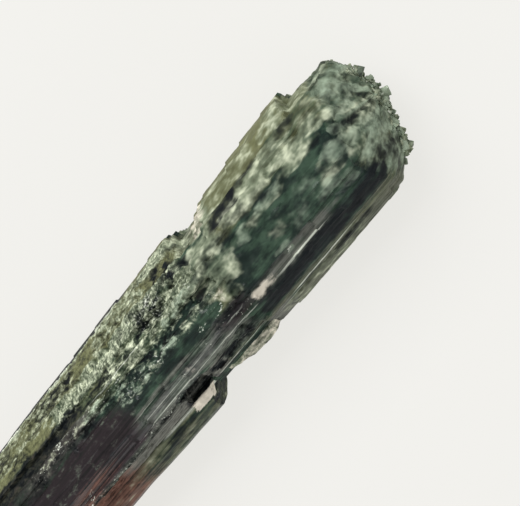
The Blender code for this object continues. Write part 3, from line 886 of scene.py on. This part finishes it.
class Wire:
    """An output socket that can be added, subtracted and multiplied: each sum adds a Math
    node to the socket's tree."""

    def __init__(self, socket):
        self.socket = socket

    def worked(self, operation, *values):
        inputs = dict(enumerate(values))
        return add_node(self.socket.id_data, "ShaderNodeMath", inputs, operation=operation)

    def __add__(self, other):
        return self.worked("ADD", self, other)

    def __sub__(self, other):
        return self.worked("SUBTRACT", self, other)

    def __rsub__(self, other):
        return self.worked("SUBTRACT", other, self)

    def __mul__(self, other):
        return self.worked("MULTIPLY", self, other)

    def at_least(self, other):
        return self.worked("MAXIMUM", self, other)


def fill(node, inputs):
    """Gives the node's inputs their values, or wires them."""
    for name, value in inputs.items():
        if isinstance(value, Wire):
            node.id_data.links.new(value.socket, node.inputs[name])
        else:
            node.inputs[name].default_value = value


def add_node(tree, kind, inputs=(), output=0, **options):
    """Adds a node and gives the wire from one of its outputs."""
    made = tree.nodes.new(kind)
    for name, value in options.items():
        setattr(made, name, value)
    fill(made, dict(inputs))
    return Wire(made.outputs[output])


def mixed_colour(tree, share, one, other):
    inputs = {MIX_SHARE: share, MIX_ONE: one, MIX_OTHER: other}
    return add_node(tree, "ShaderNodeMix", inputs, MIX_RESULT, data_type="RGBA")


def mixed_value(tree, share, one, other):
    return add_node(tree, "ShaderNodeMix", {0: share, 2: one, 3: other})


def step_between(tree, value, low, high):
    inputs = {"Value": value, "From Min": low, "From Max": high}
    return add_node(tree, "ShaderNodeMapRange", inputs, interpolation_type="SMOOTHSTEP")


def attribute(tree, name, output="Fac"):
    return add_node(tree, "ShaderNodeAttribute", output=output, attribute_name=name)


def grouped(tree, name, sockets, result, wire, values):
    """A node of the group with this name, given values in the order of its sockets. The first
    time the group is made, with these sockets and their defaults and one result, which `wire`
    works out from the inputs. The size of a default says what kind of socket it needs."""
    group = bpy.data.node_groups.get(name)
    if group is None:
        group = bpy.data.node_groups.new(name, "ShaderNodeTree")
        for title, default in sockets.items():
            kind = SOCKET_KINDS[np.size(default)]
            socket = group.interface.new_socket(name=title, in_out="INPUT", socket_type=kind)
            socket.default_value = default
        kind = SOCKET_KINDS[result[1]]
        group.interface.new_socket(name=result[0], in_out="OUTPUT", socket_type=kind)
        given = group.nodes.new("NodeGroupInput").outputs
        made = wire(group, {title: Wire(given[title]) for title in sockets})
        fill(group.nodes.new("NodeGroupOutput"), {result[0]: made})
    return add_node(tree, "ShaderNodeGroup", zip(sockets, values), node_tree=group)


def lay_tones(group, given):
    """Each tone over the ones before it, by its own share."""
    colour = given["body"]
    for tone in TONE_GRAINS:
        colour = mixed_colour(group, given[tone], colour, given[tone + " colour"])
    return colour


def break_share(group, given):
    """A soft share broken into grains: where the share plus the field's swing passes a half
    it is 1, with an edge of this softness. No share stays none."""
    moved = given["Share"] + (given["Field"] - 0.5) * given["Swing"]
    share = step_between(group, moved, 0.5 - given["Softness"], given["Softness"] + 0.5)
    return share * step_between(group, given["Share"], 0.02, 0.18)


def stretch_noise(group, given):
    """Noise stretched by a vector, from 0 to 1 about a half."""
    factors = {0: given["Vector"], 1: given["Stretch"]}
    stretched = add_node(group, "ShaderNodeVectorMath", factors, operation="MULTIPLY")
    inputs = {"Vector": stretched, "Scale": 1.0, "Roughness": 0.6}
    inputs |= {name: given[name] for name in ("Detail", "Distortion")}
    return add_node(group, "ShaderNodeTexNoise", inputs, "Fac")


def broken(tree, *values):
    return grouped(tree, "broken_share", BREAK_SOCKETS, ("Share", 1), break_share, values)


def noise_field(tree, *values):
    return grouped(tree, "stretched_noise", NOISE_SOCKETS, ("Field", 1), stretch_noise, values)


def surface_fields(tree, haze):
    """The noise fields of the material. Where it is hazy, one large soft field takes the
    place of the fine ones."""
    prism = attribute(tree, "prism", "Vector")
    turned = add_node(tree, "ShaderNodeMapping", {"Vector": prism, "Rotation": (0, 0, SCALE_ANGLE)})
    fields = {
        name: noise_field(tree, turned if name == "strokes" else prism, *values)
        for name, values in MATERIAL_NOISE.items()
    }
    blurred = haze * 0.82
    fine = (fields["speckle"] - 0.5) * (1 - haze)
    cover = mixed_value(tree, blurred, fields["mottle"], fields["haze"]) + fine * 0.12
    grain = mixed_value(tree, attribute(tree, "scaly"), fields["mottle"], fields["strokes"])
    grain = mixed_value(tree, blurred, grain, fields["haze"]) + fine * 0.35
    streaky = mixed_value(tree, 0.4, fields["lines"], fields["mottle"])
    return fields | {"cover": cover, "hollows": 1 - cover, "grain": grain, "streaky": streaky}


def colour_of(name):
    return (*getattr(bpy.context.scene.tourmaline_colours, name), 1.0)


def tone_colour(tree, shares, fields):
    """The tones laid over one another by their shares. Frost is paler where its grains stand
    higher: its own paler tone there, and painted light on the raised grains."""
    clear = step_between(tree, fields["clear"], 0.40, 0.64)
    powder_and_grain_light = step_between(tree, fields["grain"], 0.42, 0.66)
    laid = {"body": mixed_colour(tree, clear, colour_of("body"), colour_of("body_light"))}
    for tone, share in shares.items():
        laid |= {tone: share, tone + " colour": colour_of("painted_highlight" if tone == "painted_glint" else tone)}
    laid["frost colour"] = mixed_colour(tree, powder_and_grain_light, colour_of("frost"), colour_of("frost_pale"))
    defaults = {title: 0.0 if title in TONE_GRAINS else (1, 1, 1, 1) for title in laid}
    return grouped(tree, "crystal_tones", defaults, ("Colour", 4), lay_tones, laid.values())


def node_material(name):
    """A new material and its shader."""
    material = bpy.data.materials.new(name)
    material.use_nodes = True
    return material, material.node_tree.nodes["Principled BSDF"]


def tourmaline_material():
    """Deep green tourmaline: tones by their shares, broken up by grains, slanting scales
    and lines, frosted where it is pale and glassy on its smooth faces."""
    found = bpy.data.materials.get(MATERIAL)
    if found:
        return found
    material, shader = node_material(MATERIAL)
    tree = material.node_tree
    haze, lined = attribute(tree, "haze"), attribute(tree, "lined")
    fields = surface_fields(tree, haze)
    soft = haze * 0.35 + 0.36
    shares = {
        tone: broken(tree, attribute(tree, tone), fields[field], swing, softness or soft)
        for tone, (field, swing, softness) in TONE_GRAINS.items()
    }
    rough = 1 - attribute(tree, "smooth")
    # Painted light and shade: the colour is lightened and darkened by the grains and lines that raise the
    # bumps, over the grains' own uneven tone.
    grain_light_and_tone = (fields["grain"] - 0.5) * (rough * (2.6 - haze * 0.8) + 0.8)
    streaks = (fields["lines"] - 0.5) * lined * 3.6
    light = (grain_light_and_tone + 1.0 + streaks).at_least(0.2)
    colour = {"Color": tone_colour(tree, shares, fields), "Value": light}
    clean = attribute(tree, "glass") * (1 - shares["frost"])
    bumps = fields["grain"] * (rough + 0.2) + fields["lines"] * 0.7 * lined
    height = {"Height": bumps, "Strength": 0.8, "Distance": BUMP_HEIGHT}
    fill(shader, {
        "Base Color": add_node(tree, "ShaderNodeHueSaturation", colour),
        "Roughness": shares["frost"] * 0.2 + 0.5 - clean * 0.25,
        "Normal": add_node(tree, "ShaderNodeBump", height),
        "Coat Weight": clean * 0.45, "Coat Roughness": 0.12, "IOR": IOR, "Specular IOR Level": 0.04,
    })
    return material


def paper_material(stage):
    """The pale floor: matt paper that also glows a little, so shadows stay faint."""
    material, shader = node_material("pale_floor")
    fill(shader, {
        "Base Color": (FLOOR_PAPER, FLOOR_PAPER, FLOOR_PAPER, 1.0),
        "Roughness": 0.9, "Specular IOR Level": 0.1,
        "Emission Color": (*stage.floor_colour, 1.0), "Emission Strength": stage.floor_glow,
    })
    return material


# The studio.

def build_floor(stage):
    """A flat pale square at z = 0."""
    half = FLOOR_SIZE / 2
    mesh = bpy.data.meshes.new("studio_floor")
    corners = [(-half, -half, 0), (half, -half, 0), (half, half, 0), (-half, half, 0)]
    mesh.from_pydata(corners, [], [(0, 1, 2, 3)])
    mesh.materials.append(paper_material(stage))
    add_object("studio_floor", mesh)


def add_softbox(name, place, size, power):
    """A soft light of this width and height that faces the crystal."""
    light = bpy.data.lights.new(name, "AREA")
    light.shape = "RECTANGLE"
    light.size, light.size_y = size
    light.energy = power
    lamp = add_object(name, light)
    lamp.location = place
    lamp.rotation_euler = (-Vector(place)).to_track_quat("-Z", "Y").to_euler()


def add_camera(stage):
    """A camera that looks down on the head and most of the column. It leans back towards
    the head by tilt and turns about its own axis by turn."""
    tilt, turn = stage.camera_tilt, stage.camera_turn
    back = Vector((math.sin(tilt), 0, math.cos(tilt)))
    along = Vector((math.cos(tilt), 0, -math.sin(tilt)))
    side = Vector((0, -1, 0))
    right = math.cos(turn) * along + math.sin(turn) * side
    up = math.sin(turn) * along - math.cos(turn) * side
    data = bpy.data.cameras.new("studio_camera")
    data.sensor_width = SENSOR
    data.lens = SENSOR * stage.camera_distance / stage.view_width
    data.clip_start, data.clip_end = 0.005, 10.0
    camera = add_object("studio_camera", data)
    camera.matrix_world = Matrix((right, up, back)).transposed().to_4x4()
    camera.location = Vector(CAMERA_AIM) + back * stage.camera_distance
    bpy.context.scene.camera = camera


def light_studio(stage):
    """Even light from all round, a softbox on the left and a strip low on the right."""
    world = bpy.data.worlds.new("studio_air")
    world.use_nodes = True
    air = {"Color": (*stage.air_colour, 1.0), "Strength": stage.air_light}
    fill(world.node_tree.nodes["Background"], air)
    bpy.context.scene.world = world
    add_softbox("left_softbox", (0.05, 0.30, 0.38), (0.40, 0.30), stage.key_power)
    add_softbox("right_strip", (0.00, -0.34, 0.16), (0.50, 0.06), stage.strip_power)
    bpy.context.scene.view_settings.view_transform = "Standard"


# The add-on.

def amount(name, description, default, least=0.0, **more):
    return bpy.props.FloatProperty(name=name, description=description, default=default, min=least, **more)


def distance(name, description, default):
    return amount(name, description, default, subtype="DISTANCE", unit="LENGTH")


def angle(name, description, degrees):
    return amount(name, description, math.radians(degrees), -math.pi, subtype="ANGLE")


def tint(name, description, default):
    return bpy.props.FloatVectorProperty(
        name=name, description=description, default=default, min=0.0, max=1.0, subtype="COLOR"
    )


class TourmalineShape(bpy.types.PropertyGroup):
    """Sizes of the crystal's relief and crust, and how finely its surface is drawn."""

    fine_step: amount("Fine step", "Spacing of the points on the upper faces, in mm", 0.122, 0.05)
    coarse_step: amount("Coarse step", "Spacing of the points on the lower faces, in mm", 0.30, 0.1)
    striation_height: amount("Striations", "Height of the lines along the crystal, in mm", 0.035)
    scale_height: amount("Scales", "Height of the scaly and broken growth, in mm", 0.20)
    lump_height: amount("Lumps", "Height of the round lumps near the head, in mm", 0.16)
    grain_height: amount("Grains", "Height of the head's grains, in mm", 0.42)
    crust_size: distance("Crust crystals", "Width of a little crystal of the crust", 0.00024)
    crust_count: bpy.props.IntProperty(
        name="Crust count", description="Number of little crystals in the crust", default=1000, min=1
    )


class TourmalineColours(bpy.types.PropertyGroup):
    """The crystal's tones."""

    body: tint("Body", "Bottle green of the clear crystal", (0.011, 0.021, 0.017))
    body_light: tint("Body light", "Green where light comes through", (0.042, 0.076, 0.050))
    olive: tint("Olive", "Olive green of the left faces", (0.152, 0.160, 0.080))
    grey: tint("Grey", "Grey green of the worn right faces", (0.150, 0.153, 0.130))
    # A grey tone, and a painted sheen on the right faces.
    plum: tint("Plum", "Dark purple towards the broken end", (0.022, 0.016, 0.018))
    rust: tint("Rust", "Brown red towards the broken end", (0.145, 0.072, 0.052))
    frost: tint("Frost", "Sage green of the frosted growth", (0.218, 0.258, 0.174))
    frost_pale: tint("Pale frost", "Lightest frosted growth", (0.480, 0.514, 0.376))
    shade: tint("Shade", "Near black of the grooves and pits", (0.011, 0.014, 0.016))
    # Painted shade: the near black of the grooves, pits and hollows.
    ice: tint("Ice", "Pale blue green of the clearer growth", (0.285, 0.352, 0.262))
    cream: tint("Cream", "Cream of the bare broken patches", (0.760, 0.700, 0.580))
    # Painted highlights: the colour of the bright edges and glints.
    painted_highlight: tint("White", "White of the bright edges and glints", (0.620, 0.650, 0.560))


class TourmalineStage(bpy.types.PropertyGroup):
    """The floor, the lights and the camera."""

    floor_colour: tint("Floor", "Colour of the floor", (0.86, 0.85, 0.81))
    floor_glow: amount("Floor glow", "How much the floor glows by itself", 0.84)
    air_colour: tint("Air", "Colour of the light from all round", (1.0, 1.0, 1.0))
    air_light: amount("Air light", "Strength of the light from all round", 0.54)
    key_power: amount("Key light", "Power of the softbox on the left", 1.65, unit="POWER")
    strip_power: amount("Strip light", "Power of the strip on the right", 0.20, unit="POWER")
    camera_tilt: angle("Camera tilt", "Lean of the camera towards the head", 18)
    camera_turn: angle("Camera turn", "Turn of the picture", 50.5)
    camera_distance: distance("Camera distance", "From the camera to its aim", 0.110)
    view_width: distance("View width", "Width seen at the aim", 0.03796)


class TOURMALINE_OT_column(bpy.types.Operator):
    """Build the column with its ledges, relief and head"""

    bl_idname = "tourmaline.column"
    bl_label = "Column"

    def execute(self, context):
        build_column(context.scene.tourmaline_shape)
        return {"FINISHED"}


class TOURMALINE_OT_side_growth(bpy.types.Operator):
    """Build the thinner crystal and the flake on the right side"""

    bl_idname = "tourmaline.side_growth"
    bl_label = "Side crystal and flake"

    def execute(self, context):
        build_side_crystal(context.scene.tourmaline_shape)
        build_flake()
        return {"FINISHED"}


class TOURMALINE_OT_crust(bpy.types.Operator):
    """Build the crust of little crystals on the column's head"""

    bl_idname = "tourmaline.crust"
    bl_label = "Crust"

    def execute(self, context):
        column = context.scene.objects.get("crystal_column")
        if column is None:
            raise RuntimeError("Build the column before its crust")
        build_crust(context.scene.tourmaline_shape, column)
        return {"FINISHED"}


class TOURMALINE_OT_stage(bpy.types.Operator):
    """Set up the floor, the lights and the camera"""

    bl_idname = "tourmaline.stage"
    bl_label = "Studio"

    def execute(self, context):
        stage = context.scene.tourmaline_stage
        build_floor(stage)
        light_studio(stage)
        add_camera(stage)
        return {"FINISHED"}


OPERATORS = (TOURMALINE_OT_column, TOURMALINE_OT_side_growth, TOURMALINE_OT_crust, TOURMALINE_OT_stage)
GROUPS = {
    "tourmaline_shape": TourmalineShape,
    "tourmaline_colours": TourmalineColours,
    "tourmaline_stage": TourmalineStage,
}


class TOURMALINE_PT_panel(bpy.types.Panel):
    """Lists the settings and the operators that build from them"""

    bl_idname = "TOURMALINE_PT_panel"
    bl_label = "Tourmaline Crystal"
    bl_space_type = "VIEW_3D"
    bl_region_type = "UI"
    bl_category = "Tourmaline"

    def draw(self, context):
        for group in GROUPS:
            settings = getattr(context.scene, group)
            box = self.layout.box()
            for name in settings.bl_rna.properties.keys():
                if name not in ("rna_type", "name"):
                    box.prop(settings, name)
        for operator in OPERATORS:
            self.layout.operator(operator.bl_idname)


CLASSES = (*GROUPS.values(), *OPERATORS, TOURMALINE_PT_panel)


def register():
    for kind in CLASSES:
        bpy.utils.register_class(kind)
    for name, kind in GROUPS.items():
        setattr(bpy.types.Scene, name, bpy.props.PointerProperty(type=kind))


def unregister():
    for name in GROUPS:
        delattr(bpy.types.Scene, name)
    for kind in reversed(CLASSES):
        bpy.utils.unregister_class(kind)


def main():
    register()
    bpy.ops.tourmaline.column()
    bpy.ops.tourmaline.side_growth()
    bpy.ops.tourmaline.crust()
    bpy.ops.tourmaline.stage()


if __name__ == "__main__":
    main()
